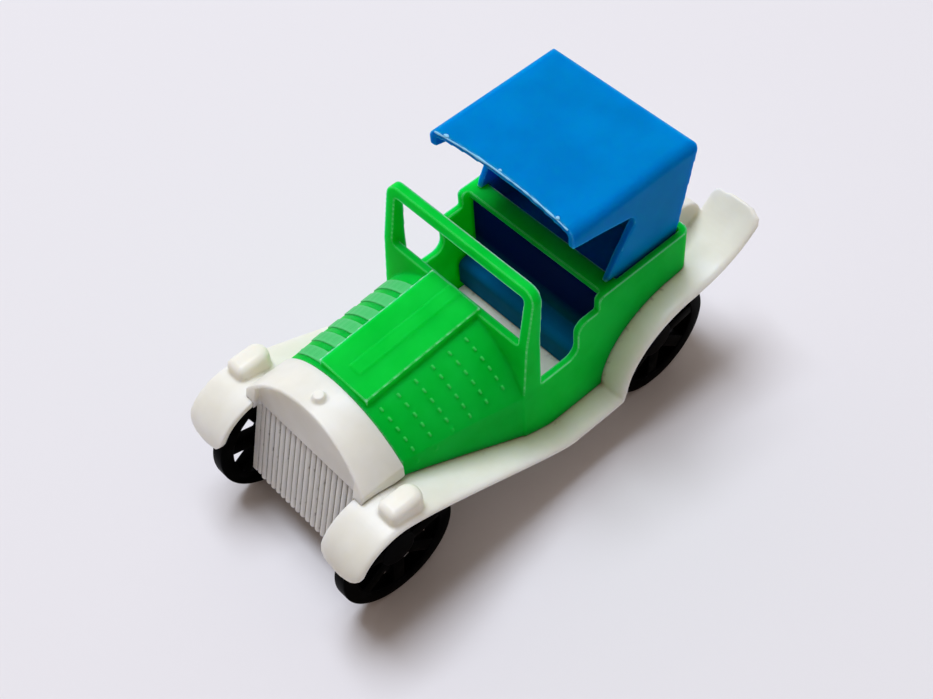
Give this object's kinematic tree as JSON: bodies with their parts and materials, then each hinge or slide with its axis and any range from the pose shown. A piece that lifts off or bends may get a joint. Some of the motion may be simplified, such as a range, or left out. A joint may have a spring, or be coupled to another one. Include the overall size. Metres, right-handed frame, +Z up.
{
  "type": "toy vintage car",
  "caption": "Small moulded plastic toy vintage car with an open cab, lift-off roof, sweeping fenders and spoked wheels that roll on snap-in axles.",
  "frame": {"origin": "on the ground under the middle of the car's length and width", "axes": "+X forward, +Y to the car's left, +Z up"},
  "size_m": [0.0786, 0.0384, 0.0466],
  "materials": {
    "ivory_plastic": "moulded, satin gloss",
    "green_plastic": "moulded, slightly translucent",
    "blue_plastic": "moulded, satin gloss",
    "black_plastic": "moulded, glossy"
  },
  "bodies": {
    "car": {"chassis": "ivory_plastic", "radiator": "ivory_plastic", "body": "green_plastic", "seat": "blue_plastic"},
    "roof": {"roof": "blue_plastic"},
    "front_wheels": {"front_axle": "black_plastic", "wheel_front_left": "black_plastic", "wheel_front_right": "black_plastic"},
    "rear_wheels": {"rear_axle": "black_plastic", "wheel_rear_left": "black_plastic", "wheel_rear_right": "black_plastic"}
  },
  "joints": [
    {"name": "front_axle_roll", "type": "hinge", "parent": "car", "child": "front_wheels", "pos_m": [0.02915, 0, 0.0098], "axis": [0, 1, 0], "continuous": true},
    {"name": "rear_axle_roll", "type": "hinge", "parent": "car", "child": "rear_wheels", "pos_m": [-0.02285, 0, 0.0098], "axis": [0, 1, 0], "continuous": true},
    {"name": "roof_lift", "type": "slide", "parent": "car", "child": "roof", "axis": [0, 0, 1], "range_m": [0, 0.016]}
  ]
}
